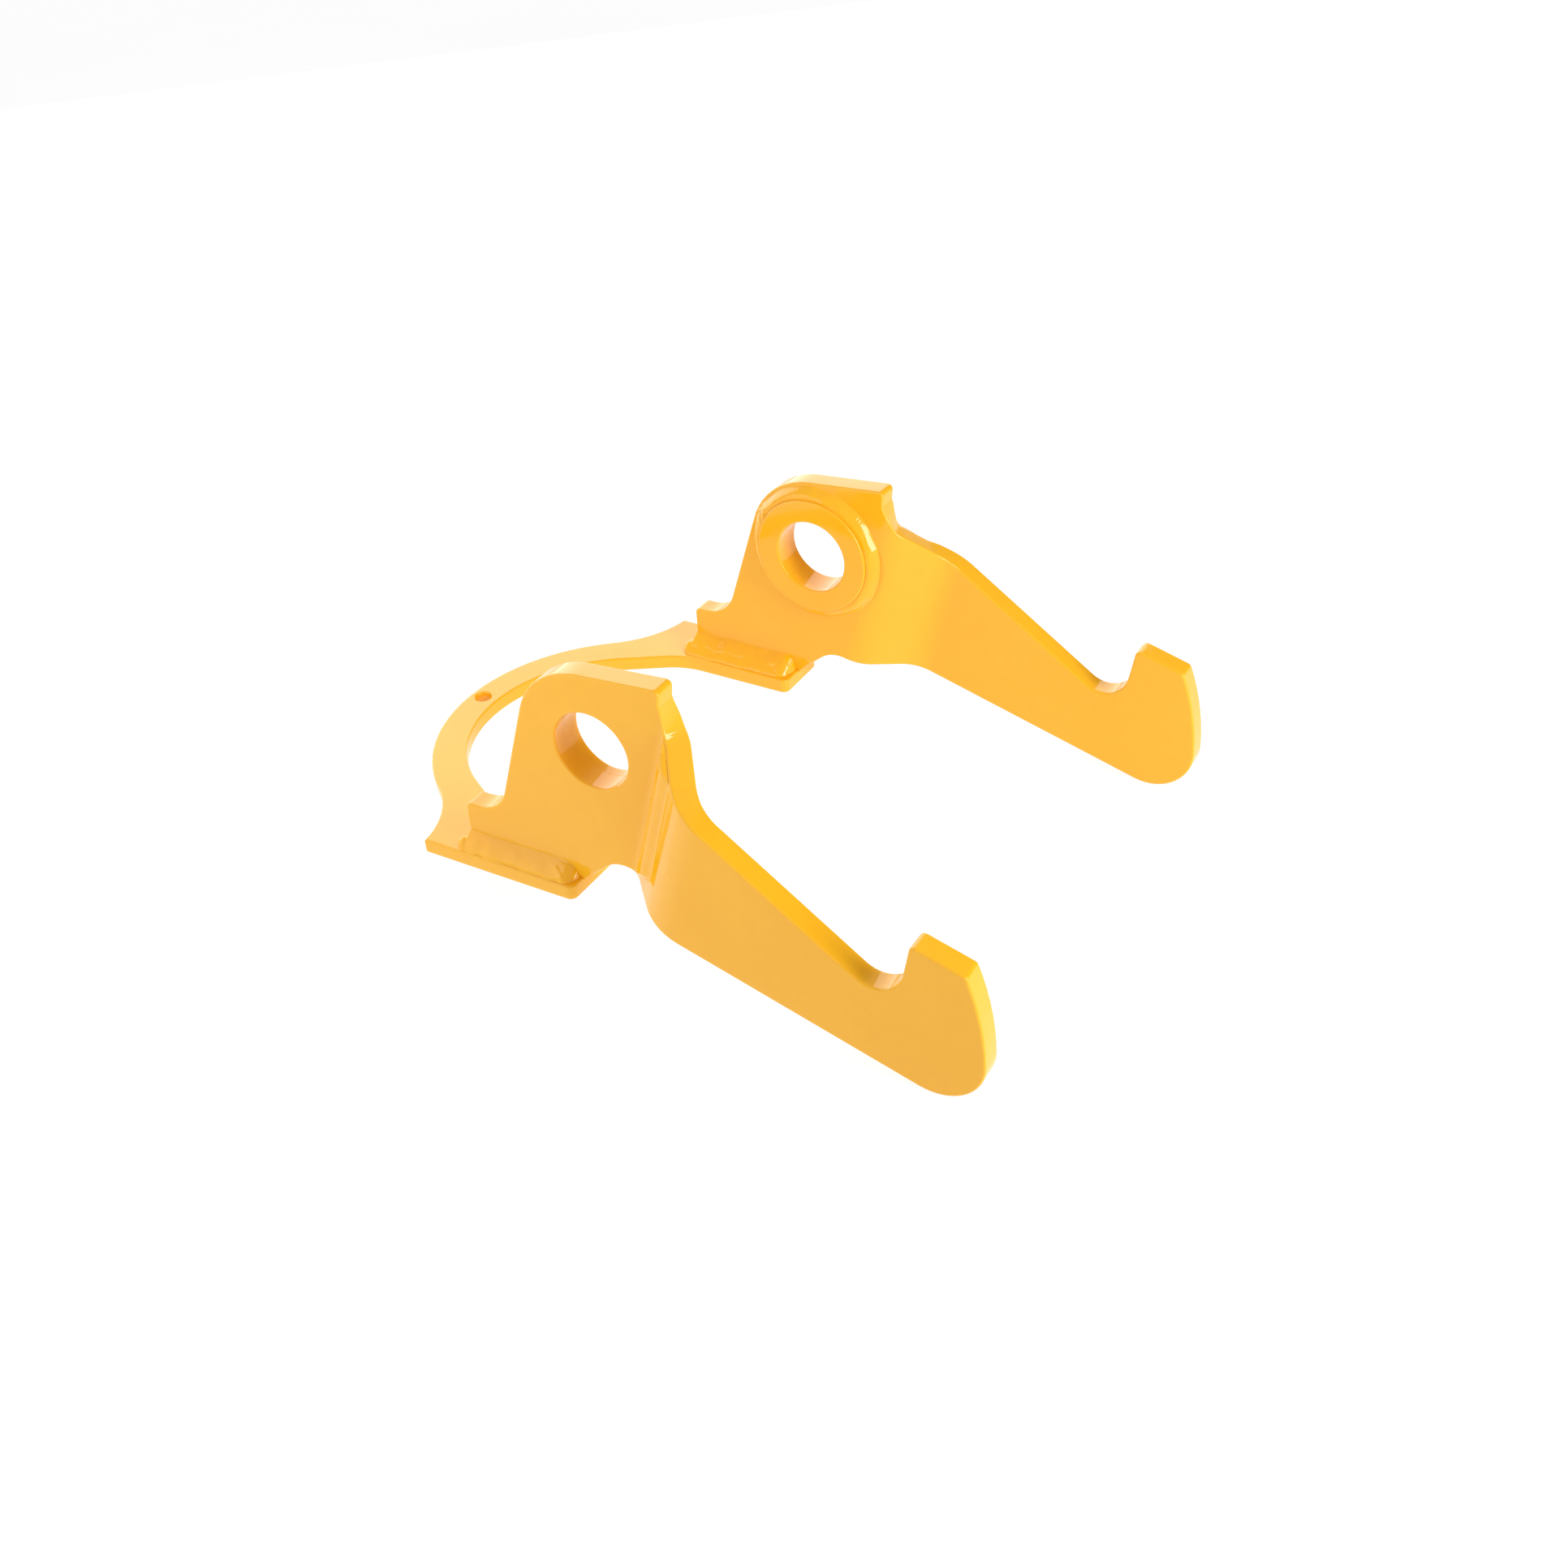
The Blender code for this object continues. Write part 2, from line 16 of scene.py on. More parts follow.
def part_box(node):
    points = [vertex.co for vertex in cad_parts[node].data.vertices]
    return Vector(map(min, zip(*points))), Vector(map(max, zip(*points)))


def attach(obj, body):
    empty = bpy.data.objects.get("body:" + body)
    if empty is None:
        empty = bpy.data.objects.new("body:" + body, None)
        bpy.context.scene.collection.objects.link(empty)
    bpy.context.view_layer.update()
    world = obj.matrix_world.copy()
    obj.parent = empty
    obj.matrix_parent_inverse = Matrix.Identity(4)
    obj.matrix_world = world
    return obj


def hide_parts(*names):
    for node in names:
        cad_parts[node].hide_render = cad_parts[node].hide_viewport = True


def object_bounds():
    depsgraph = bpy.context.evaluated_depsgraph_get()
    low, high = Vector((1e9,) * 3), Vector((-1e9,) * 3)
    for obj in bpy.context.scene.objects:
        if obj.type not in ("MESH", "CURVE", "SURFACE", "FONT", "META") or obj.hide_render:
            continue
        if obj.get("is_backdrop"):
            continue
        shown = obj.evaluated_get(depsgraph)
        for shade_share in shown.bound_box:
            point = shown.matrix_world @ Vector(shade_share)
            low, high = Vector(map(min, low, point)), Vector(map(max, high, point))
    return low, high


MM = 0.001
SIDES = ((-1, "right"), (1, "left"))

# What the frame leaves open between pieces, and how deep a bead's hidden side is sunk instead.
CLEARANCE = 0.3 * MM
SINK = 0.7 * MM
DIP = 0.06 * MM  # a toe starts this far inside its plate, so that no face lies in the plate's face

# Weld beads
STATION = 0.4 * MM  # spacing of the sections along a bead
FACE_STEPS = 26  # faces across a bead
RIPPLE_PITCH = 1.9 * MM
RIPPLE_BOW = 1.7 * MM  # how far each ripple bows along the bead
RIPPLE_HEIGHT = 0.045 * MM
LUMP_SIZE = 7.0 * MM
LUMP_HEIGHT = 0.24 * MM
GRAIN_SIZE = 2.2 * MM
GRAIN_HEIGHT = 0.02 * MM
TOE_WANDER = 0.4 * MM  # how far a bead's edges wander
THINNEST = 0.03  # of its full size, the least that a bead's section shrinks to
BEAD_SHARP = math.radians(50)  # edges of a bead that turn more than this stay sharp
TINY = 1e-12

# Yoke beads
YOKE_NOSE = 6.5 * MM  # length of the rounded front end
YOKE_TIP_OFFSET = 0.42  # how far the tip of the beak stands off the wall, as a share of the reach
YOKE_BEAK_HIDDEN = 1.2 * MM  # how much further the beak's hidden side reaches
YOKE_WIDTH_PITCH = 6 * MM  # pace at which the width and the height wander
YOKE_HEIGHT_PITCH = 9 * MM
BEAK_STATIONS = 18
NOSE_STATIONS = 15
WORM_HEIGHT = 0.35 * MM  # the thin last pass near the front end
WORM_WIDTH = 0.11  # as a share of the bead's face
WORM_BACK = 9 * MM  # its middle, behind the front end
WORM_LENGTH = 5 * MM
WORM_CURL = (13 * MM, 3 * MM)  # where it begins and ends its curl, behind the front end
SECOND_PASS = 0.35 * MM  # how far the inner beads' second pass stands above the first
SECOND_PASS_START = 0.47  # as a share of the bead's face, from its lower toe
SECOND_PASS_PITCH = 8 * MM

# Boss beads
BOSS_TAIL = 1.4 * MM  # how far the toe runs out over the head
BOSS_START = math.radians(152)  # where the bead was started and stopped
BOSS_MARK = 0.6 * MM  # depth of the groove and height of the ridge there
BOSS_OVERLAP = 0.5 * MM  # how much wider the bead is there
BOSS_WIDTH_PITCH = 9 * MM
BOSS_HEIGHT_PITCH = 5 * MM
ROOT_COVER = 0.02 * MM  # how far the ring behind the boss lies under the surface of the bore
ROOT_SEGMENTS = 240

# Jog beads
JOG_CROWN = 3.3 * MM
JOG_ROUNDING = 2.5 * MM  # length of the rounded upper end
JOG_CALM = 0.3  # a bead this smooth has little of the others' relief
JOG_RAGGED = 0.8 * MM  # how uneven the lower end is
JOG_RAGGED_PITCH = 2.5 * MM
TOE_REACH = 1.5 * MM  # how far from a toe of the frame's bead its corner points lie, at most
OUTSIDE = 0.2  # further out than any part of the lever

# Foot roots
ROOT_INSET = 0.35 * MM  # how far a root stays inside the foot's faces
ROOT_STATIONS = 60

# Arm's lower edge: its slope sets the directions of the jog weld.
ARM_SLOPE = math.radians(16.3)

# Camera, placed from the middle of the pivot axis
CAMERA_OFFSET = Vector((0.4333, -0.6300, 0.4490))
CAMERA_BACK = Vector((0.4057, -0.7061, 0.5804))  # from the lever to the camera
CAMERA_RIGHT = Vector((0.8792, 0.4751, -0.0367))
LENS = 41.0
SENSOR = 36.0
SHIFT = (-0.0429, 0.0024)

# Studio: how bright the room, its darker side and the floor are
ROOM_LEVEL = 0.55
DARK_LEVEL = 0.15
DARK_SIDE = (0.40, 0.82, 0.36)  # direction of its middle
DARK_CORE = 18  # degrees from that middle within which the room is darkest
DARK_REACH = 42  # and beyond which it is at its usual level
FLOOR_GLOW = 0.85
FLOOR_DARK = (0.24, 0.24, 0.24)
FLOOR_LIGHT = (0.26, 0.26, 0.26)
FLOOR_ROUGHNESS = 0.8
FLOOR_HALF = 40.0
FLOOR_GAP = 0.2 * MM  # between the lever and the floor
# Light panels: name, direction from the lever, distance, width, height and radiance
PANELS = (
    ("back_panel", (-0.70, 0.60, 0.42), 1.6, 3.4, 1.5, 2.0),
    ("side_panel", (0.93, -0.13, 0.34), 1.0, 0.3, 0.8, 9.0),
    ("fill_panel", (-0.65, -0.70, 0.40), 0.5, 0.4, 0.4, 1.2),
)

# Shading of the plates
MERGE_DISTANCE = 0.002 * MM
PLATE_SHARP = math.radians(36)
CORNER_WEIGHT = 60  # how far large faces outweigh small ones in the smooth shading

# Paint: colours, then the ranges of roughness, then noise scales per metre and relief heights
PAINT = (0.95, 0.47, 0.014)
PAINT_DEEP = (0.93, 0.45, 0.010)
# painted shade: the colour that corners and recesses darken towards
PAINT_SHADE = (0.80, 0.34, 0.004)
# painted highlight: the paler colour along rounded edges
PAINT_EDGE_HIGHLIGHT = (0.99, 0.57, 0.05)
PLATE_SHADE = 0.15  # how strongly painted shade darkens the corners and recesses
WELD_SHADE = 0.3
WELD_PAINT = (0.97, 0.475, 0.008)
WELD_DEEP = (0.94, 0.445, 0.006)
BODY_ROUGHNESS = (0.26, 0.38)
COAT_ROUGHNESS = (0.05, 0.10)
DRIFT_SCALE = 16.0
MOTTLE_SCALE = 140.0
BODY_SCALE = 55.0
COAT_SCALE = 90.0
WAVE_SCALE = 45.0
WAVE_HEIGHT = 0.10 * MM
PEEL_SCALE = 620.0
PEEL_HEIGHT = 0.006 * MM
CUT_SCALE = 700.0
CUT_STRETCH = 0.03  # how slowly the lines change across a plate's thickness
CUT_HEIGHT = 0.02 * MM
EDGE_HIGHLIGHT_WIDTH = 0.9 * MM  # of the painted highlight along edges
SHADE_REACH = 3 * MM  # of the painted shade in corners and recesses


# ---------------------------------------------------------------- small helpers


def fade(value, start, end):
    """0 at start and 1 at end, with a smooth run between them."""
    t = min(1.0, max(0.0, (value - start) / (end - start)))
    return t * t * (3 - 2 * t)


def bump(value, centre, width):
    """A rounded rise of height 1 about a centre."""
    return math.exp(-(((value - centre) / width) ** 2))


def wander(along, size, seed):
    """A slow, repeatable wander between about -1 and 1 along a length."""
    return 1.6 * noise.noise(Vector((along / size, seed * 7.3, seed * 3.1)))


def surface_noise(point, size, seed):
    """Noise over a surface point, between about -1 and 1."""
    return 1.6 * noise.noise(point / size + Vector((seed * 5.7, seed * 2.3, -seed * 4.1)))


def ripple(along, across, seed):
    """The crescent ripples of a bead: across runs from 0 at one edge to 1 at the other."""
    bow = RIPPLE_BOW * (1 - (2 * across - 1) ** 2)
    phase = (along + bow) / RIPPLE_PITCH + 0.35 * wander(along, 4 * RIPPLE_PITCH, seed)
    return (0.5 + 0.5 * math.cos(2 * math.pi * phase)) ** 1.5


def relief(point, along, across, seed):
    """How far a bead's face stands off its smooth form, fading to nothing at both edges."""
    inside = fade(across, 0.0, 0.22) * fade(across, 1.0, 0.78)
    rise = LUMP_HEIGHT * surface_noise(point, LUMP_SIZE, seed)
    rise += GRAIN_HEIGHT * surface_noise(point, GRAIN_SIZE, seed + 9)
    rise += RIPPLE_HEIGHT * ripple(along, across, seed)
    return rise * inside


def section(controls):
    """A bead's face in section: points and outward normals along a cubic through its two toes.

    The first toe is the one furthest out, and the last the one highest up.
    """
    start, first, second, end = (Vector(point) for point in controls)
    face = []
    for k in range(FACE_STEPS + 1):
        t = k / FACE_STEPS
        u = 1 - t
        point = start * u**3 + first * (3 * u * u * t) + second * (3 * u * t * t) + end * t**3
        slope = (first - start) * u * u + (second - first) * (2 * u * t) + (end - second) * t * t
        if slope.length < TINY:
            slope = end - start
        slope.normalize()
        face.append((point, Vector((slope.y, -slope.x))))
    return face


def add_rings(bm, rings, joined):
    """Faces through loops of equal length; joined links the last ring to the first."""
    rows = [[bm.verts.new(point) for point in ring] for ring in rings]
    following = rows[1:] + ([rows[0]] if joined else [])
    for row, other in zip(rows, following):
        for i in range(len(row)):
            j = (i + 1) % len(row)
            bm.faces.new((row[i], row[j], other[j], other[i]))
    if not joined:
        bm.faces.new(rows[0][::-1])
        bm.faces.new(rows[-1])


def finish_piece(bm, name, material):
    """The smooth-shaded object for a bead, with its faces pointing out."""
    bmesh.ops.triangulate(bm, faces=[f for f in bm.faces if len(f.verts) > 4])
    bmesh.ops.recalc_face_normals(bm, faces=bm.faces)
    if bm.calc_volume(signed=True) < 0:
        bmesh.ops.reverse_faces(bm, faces=bm.faces)
    mesh = bpy.data.meshes.new(name)
    bm.to_mesh(mesh)
    bm.free()
    mesh.shade_smooth()
    mesh.set_sharp_from_angle(angle=BEAD_SHARP)
    mesh.materials.append(material)
    piece = bpy.data.objects.new(name, mesh)
    bpy.context.collection.objects.link(piece)
    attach(piece, "root")
    return piece


# ---------------------------------------------------------------- dimensions read from the frame


def pivot_point():
    """The middle of the pivot axis."""
    low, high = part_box("pivot_boss_right")
    return Vector(((low.x + high.x) / 2, 0.0, (low.z + high.z) / 2))


def boss_radius():
    """Half the boss's extent along X."""
    low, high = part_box("pivot_boss_right")
    return (high.x - low.x) / 2


def bore_radius():
    """The smallest distance of the boss's points from the pivot axis."""
    pivot = pivot_point()
    points = [v.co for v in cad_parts["pivot_boss_right"].data.vertices]
    return min(math.hypot(p.x - pivot.x, p.z - pivot.z) for p in points)


def head_inner():
    """Distance of the heads' inner faces from the plane of symmetry."""
    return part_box("hook_arm_left")[0].y


def foot_ends():
    """Where the foot of a head begins and ends along X."""
    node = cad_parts["hook_arm_left"]
    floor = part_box("yoke_plate")[1].z
    low_points = [v.co.x for v in node.data.vertices if abs(v.co.z - floor) < 2 * CLEARANCE]
    inner = [x for x in low_points if x < pivot_point().x + boss_radius()]
    return min(inner), max(inner)


# ---------------------------------------------------------------- weld beads


def yoke_bead(label, side, outward, seed, material):
    """The fillet along the foot of a head; outward is +1 on its outer face, -1 on its inner."""
    where = "outer" if outward > 0 else "inner"
    node = f"yoke_weld_{where}_{label}"
    low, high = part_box(node)
    floor = low.z - CLEARANCE
    rise = high.z - low.z
    reach = high.y - low.y
    toward = side * outward  # the direction from the wall into the open, along Y
    wall = (low.y if toward > 0 else high.y) - toward * CLEARANCE
    back, front = low.x, high.x
    foot_back, _ = foot_ends()
    nose_back = front - YOKE_NOSE
    count = round((nose_back - foot_back) / STATION)
    quarter = math.pi / 2
    stations = []
    for i in range(BEAK_STATIONS):
        stations.append(foot_back - (foot_back - back) * math.cos(quarter * i / BEAK_STATIONS))
    for i in range(count + 1):
        stations.append(foot_back + (nose_back - foot_back) * i / count)
    for i in range(1, NOSE_STATIONS + 1):
        stations.append(front - YOKE_NOSE * (1 - math.sin(quarter * i / NOSE_STATIONS)))
    rings = []
    for x in stations:
        # A pointed beak behind the foot, with its tip off the wall, and a round nose in front.
        beak = max(0.0, (foot_back - x) / (foot_back - back))
        nose = min(1.0, max(0.0, 1 - (front - x) / YOKE_NOSE))
        size = max(THINNEST, math.sqrt(1 - nose**2))
        shift = YOKE_TIP_OFFSET * reach * beak
        wide = (reach + TOE_WANDER * wander(x, YOKE_WIDTH_PITCH, seed)) * size
        wide *= max(THINNEST, 1 - beak**1.6)
        tall = (rise + TOE_WANDER * wander(x, YOKE_HEIGHT_PITCH, seed + 2)) * size
        tall *= max(THINNEST, math.sqrt(1 - beak**2)) * (1 - 0.25 * beak)
        ring = []
        # Full above the plate, nearly straight, then easing into the wall. Behind the foot the
        # section turns into a low arch that stands free on the plate.
        free = min(1.0, 2.5 * beak)
        hidden = SINK + YOKE_BEAK_HIDDEN * free * (1 - beak)
        fillet = (
            (wide, -DIP),
            (wide * 0.95, tall * 0.32),
            (wide * 0.40, tall * 0.70),
            (-DIP, tall * 1.04),
        )
        arch = (
            (wide, -DIP),
            (wide * 0.8, tall * 0.9),
            (-hidden * 0.6, tall * 1.1),
            (-hidden, -DIP),
        )
        profile = section([Vector(p).lerp(Vector(q), free) for p, q in zip(fillet, arch)])
        for k, (place, normal) in enumerate(profile):
            across = k / FACE_STEPS
            point = Vector((x, place.x, place.y))
            off = relief(point, x, across, seed)
            # The last pass ends in a thin worm that curls down towards the front corner.
            curl = 0.66 - 0.42 * fade(x, front - WORM_CURL[0], front - WORM_CURL[1])
            worm = bump(across, curl, WORM_WIDTH) * bump(x, front - WORM_BACK, WORM_LENGTH)
            off += worm * WORM_HEIGHT
            if outward < 0:
                # A second pass lies over the upper half of the inner bead.
                seam = SECOND_PASS_START + 0.05 * wander(x, SECOND_PASS_PITCH, seed + 6)
                below = (1 - fade(across, seam, seam + 0.1)) * fade(across, 0.05, 0.3)
                off -= SECOND_PASS * below
            off *= size * (1 - beak)
            y = wall + toward * (shift + place.x + normal.x * off)
            ring.append(Vector((x, y, floor + place.y + normal.y * off)))
        # The hidden side is sunk into both plates.
        top = floor + (tall - SINK) * (1 - free) - 0.5 * SINK * free
        ring.append(Vector((x, wall + toward * (shift - hidden), top)))
        ring.append(Vector((x, wall + toward * (shift - hidden), floor - SINK)))
        ring.append(Vector((x, wall + toward * (shift + wide), floor - SINK)))
        rings.append(ring)
    bm = bmesh.new()
    add_rings(bm, rings, joined=False)
    piece = finish_piece(bm, f"weld_bead_yoke_{where}_{label}", material)
    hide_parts(node)


def boss_bead(label, side, seed, material):
    """The fillet around a boss, with the ring of fused metal that closes the joint behind it."""
    pivot = pivot_point()
    radius = boss_radius()
    face = head_inner()
    low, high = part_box(f"boss_weld_{label}")
    leg = high.y - low.y
    turns = round(2 * math.pi * (radius + leg) / STATION)
    rings = []
    for i in range(turns):
        turn = 2 * math.pi * i / turns
        around = (radius + leg) * turn
        circle = Vector((math.cos(turn), math.sin(turn), seed)) * (radius + leg)
        loose = noise.noise(circle / BOSS_WIDTH_PITCH)
        close = noise.noise(circle / BOSS_HEIGHT_PITCH + Vector((3, 1, 4)))
        overlap = bump(turn, BOSS_START, 0.16)
        wide = leg + TOE_WANDER * 1.2 * loose + BOSS_OVERLAP * overlap
        tall = leg + TOE_WANDER * 0.5 * close
        ring = []
        # Tangent to the head at its toe, and nearly flush with the boss at its rim.
        profile = section(
            ((wide + BOSS_TAIL, -DIP), (wide, -DIP), (wide * 0.78, tall), (0, tall * 0.97))
        )
        for k, (place, normal) in enumerate(profile):
            across = k / FACE_STEPS
            groove_turn = BOSS_START + 0.05 * math.sin(9 * across)
            ridge_turn = BOSS_START - 0.07 + 0.06 * math.sin(7 * across)
            mark = BOSS_MARK * (bump(turn, ridge_turn, 0.028) - bump(turn, groove_turn, 0.020))
            inside = fade(across, 0.0, 0.3) * fade(across, 1.0, 0.8)
            out = radius + place.x
            point = Vector((math.cos(turn) * out, place.y, math.sin(turn) * out))
            off = relief(point, around, across, seed) + mark * inside
            ring.append((out + normal.x * off, place.y + normal.y * off))
        ring += [(radius - SINK, tall - 0.5 * MM), (radius - SINK, -SINK), (radius + wide, -SINK)]
        loop = []
        for out, up in ring:
            x = pivot.x + math.cos(turn) * out
            z = pivot.z + math.sin(turn) * out
            loop.append(Vector((x, side * (face - up), z)))
        rings.append(loop)
    bm = bmesh.new()
    add_rings(bm, rings, joined=True)
    add_root_ring(bm, pivot, side, face)
    piece = finish_piece(bm, f"weld_bead_boss_{label}", material)
    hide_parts(f"boss_weld_{label}")


def add_root_ring(bm, pivot, side, face):
    """Closes the joint between the boss and its head, just under the surface of the bore."""
    inner = bore_radius() + ROOT_COVER
    outer = boss_radius() - SINK
    top = CLEARANCE + SINK
    rings = []
    for i in range(ROOT_SEGMENTS):
        turn = 2 * math.pi * i / ROOT_SEGMENTS
        loop = []
        for out, up in ((inner, -SINK), (outer, -SINK), (outer, top), (inner, top)):
            x = pivot.x + math.cos(turn) * out
            z = pivot.z + math.sin(turn) * out
            loop.append(Vector((x, side * (face - up), z)))
        rings.append(loop)
    add_rings(bm, rings, joined=True)


def from_arm(pivot, along, height):
    """The point at a distance along the arm's lower edge and a height square to it."""
    c, s = math.cos(ARM_SLOPE), math.sin(ARM_SLOPE)
    return pivot.x + along * c + height * s, pivot.z - along * s + height * c


def along_arm(pivot, point):
    """The reverse of from_arm, for a point of the frame."""
    c, s = math.cos(ARM_SLOPE), math.sin(ARM_SLOPE)
    x, z = point.x - pivot.x, point.z - pivot.z
    return x * c - z * s, x * s + z * c


def jog_bead(label, side, seed, material):
    """The bead in the outer corner of the jog, which follows the bent plate under it."""
    pivot = pivot_point()
    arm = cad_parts[f"hook_arm_{label}"].data
    tree = BVHTree.FromPolygons([v.co for v in arm.vertices], [p.vertices for p in arm.polygons])
    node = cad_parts[f"jog_weld_{label}"].data
    placed = [along_arm(pivot, v.co) for v in node.vertices]
    first = min(a for a, h in placed)
    last = max(a for a, h in placed)
    ends = []
    for toe in (first, last):
        heights = [h for a, h in placed if abs(a - toe) < TOE_REACH]
        ends.append((min(heights), max(heights)))
    middle = sum(h for pair in ends for h in pair) / 4
    surface = []
    for k in range(FACE_STEPS + 1):
        along = first + (last - first) * k / FACE_STEPS
        x, z = from_arm(pivot, along, middle)
        hit, normal, _, _ = tree.ray_cast(Vector((x, side * OUTSIDE, z)), Vector((0, -side, 0)))
        surface.append((hit.y, normal))
    longest = max(upper - bottom for bottom, upper in ends)
    count = round(longest / STATION)
    rings = []
    for j in range(count + 1):
        r = j / count
        top, under = [], []
        for k in range(FACE_STEPS + 1):
            across = k / FACE_STEPS
            along = first + (last - first) * across
            y, normal = surface[k]
            bottom = ends[0][0] + (ends[1][0] - ends[0][0]) * across
            upper = ends[0][1] + (ends[1][1] - ends[0][1]) * across
            ragged = JOG_RAGGED * wander(along, JOG_RAGGED_PITCH, seed + 5) * (1 - r) ** 6
            height = bottom + (upper - bottom) * r + ragged
            x, z = from_arm(pivot, along, height)
            base = Vector((x, y, z))
            size = 0.55 + 0.45 * fade(r, 0.0, 0.03)
            rounded = max(0.0, 1 - (1 - r) * longest / JOG_ROUNDING)
            size *= 1 - 0.35 * rounded**2
            lift = JOG_CROWN * size * fade(across, 0.0, 0.42) * fade(across, 1.0, 0.58) - DIP
            lift += JOG_CALM * relief(base, height, across, seed)
            top.append(base + normal * lift)
            under.append(base - normal * SINK)
        rings.append(top + under[::-1])
    bm = bmesh.new()
    add_rings(bm, rings, joined=False)
    piece = finish_piece(bm, f"weld_bead_jog_{label}", material)
    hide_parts(f"jog_weld_{label}")


def foot_root(label, side, material):
    """The fused root between a foot and the yoke plate, seen only at the two ends of the foot."""
    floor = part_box("yoke_plate")[1].z
    foot_back, foot_front = foot_ends()
    inner = head_inner()
    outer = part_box(f"yoke_weld_outer_{label}")
    wall = min(abs(outer[0].y), abs(outer[1].y)) - CLEARANCE
    near, far = side * (inner + ROOT_INSET), side * (wall - ROOT_INSET)
    low, high = floor - SINK, floor + CLEARANCE + SINK
    corners = ((near, low), (far, low), (far, high), (near, high))
    length = foot_front - foot_back - 2 * ROOT_INSET
    bm = bmesh.new()
    rings = []
    for i in range(ROOT_STATIONS + 1):
        x = foot_back + ROOT_INSET + length * i / ROOT_STATIONS
        rings.append([Vector((x, y, z)) for y, z in corners])
    add_rings(bm, rings, joined=False)
    finish_piece(bm, f"weld_root_foot_{label}", material)


# ---------------------------------------------------------------- paint


class Nodes:
    """Short calls for building one material's node tree."""

    def __init__(self, name):
        self.material = bpy.data.materials.new(name)
        self.material.use_nodes = True
        self.tree = self.material.node_tree
        self.shader = self.tree.nodes["Principled BSDF"]
        place = self.add("ShaderNodeTexCoord")
        self.place = place.outputs["Object"]

    def add(self, kind, **values):
        node = self.tree.nodes.new(kind)
        for key, value in values.items():
            setattr(node, key, value)
        return node

    def link(self, output, socket):
        self.tree.links.new(output, socket)

    def noise(self, scale, detail=2.0, stretch=None):
        """Noise over the object's own metres; stretch scales each axis."""
        texture = self.add("ShaderNodeTexNoise")
        texture.inputs["Scale"].default_value = scale
        texture.inputs["Detail"].default_value = detail
        source = self.place
        if stretch:
            mapping = self.add("ShaderNodeMapping")
            mapping.inputs["Scale"].default_value = stretch
            self.link(source, mapping.inputs["Vector"])
            source = mapping.outputs["Vector"]
        self.link(source, texture.inputs["Vector"])
        return texture.outputs["Fac"]

    def remap(self, value, from_low, from_high, to_low, to_high):
        node = self.add("ShaderNodeMapRange")
        self.link(value, node.inputs["Value"])
        for key, number in (
            ("From Min", from_low),
            ("From Max", from_high),
            ("To Min", to_low),
            ("To Max", to_high),
        ):
            node.inputs[key].default_value = number
        return node.outputs["Result"]

    def mix(self, share, first, second):
        """A colour mix; first and second are colours or sockets."""
        node = self.add("ShaderNodeMix", data_type="RGBA")
        self.link(share, node.inputs["Factor"])
        for key, colour in ((6, first), (7, second)):
            if isinstance(colour, tuple):
                node.inputs[key].default_value = (*colour, 1.0)
            else:
                self.link(colour, node.inputs[key])
        return node.outputs[2]

    def bump(self, height, distance, after=None):
        node = self.add("ShaderNodeBump")
        node.inputs["Strength"].default_value = 1.0
        node.inputs["Distance"].default_value = distance
        self.link(height, node.inputs["Height"])
        if after is not None:
            self.link(after, node.inputs["Normal"])
        return node.outputs["Normal"]


def edge_mask(nodes, radius):
    """1 on rounded edges and 0 on open faces."""
    bevel = nodes.add("ShaderNodeBevel", samples=4)
    bevel.inputs["Radius"].default_value = radius
    geometry = nodes.add("ShaderNodeNewGeometry")
    dot = nodes.add("ShaderNodeVectorMath", operation="DOT_PRODUCT")
    nodes.link(bevel.outputs["Normal"], dot.inputs[0])
    nodes.link(geometry.outputs["Normal"], dot.inputs[1])
    return nodes.remap(dot.outputs["Value"], 0.995, 0.93, 0.0, 1.0)


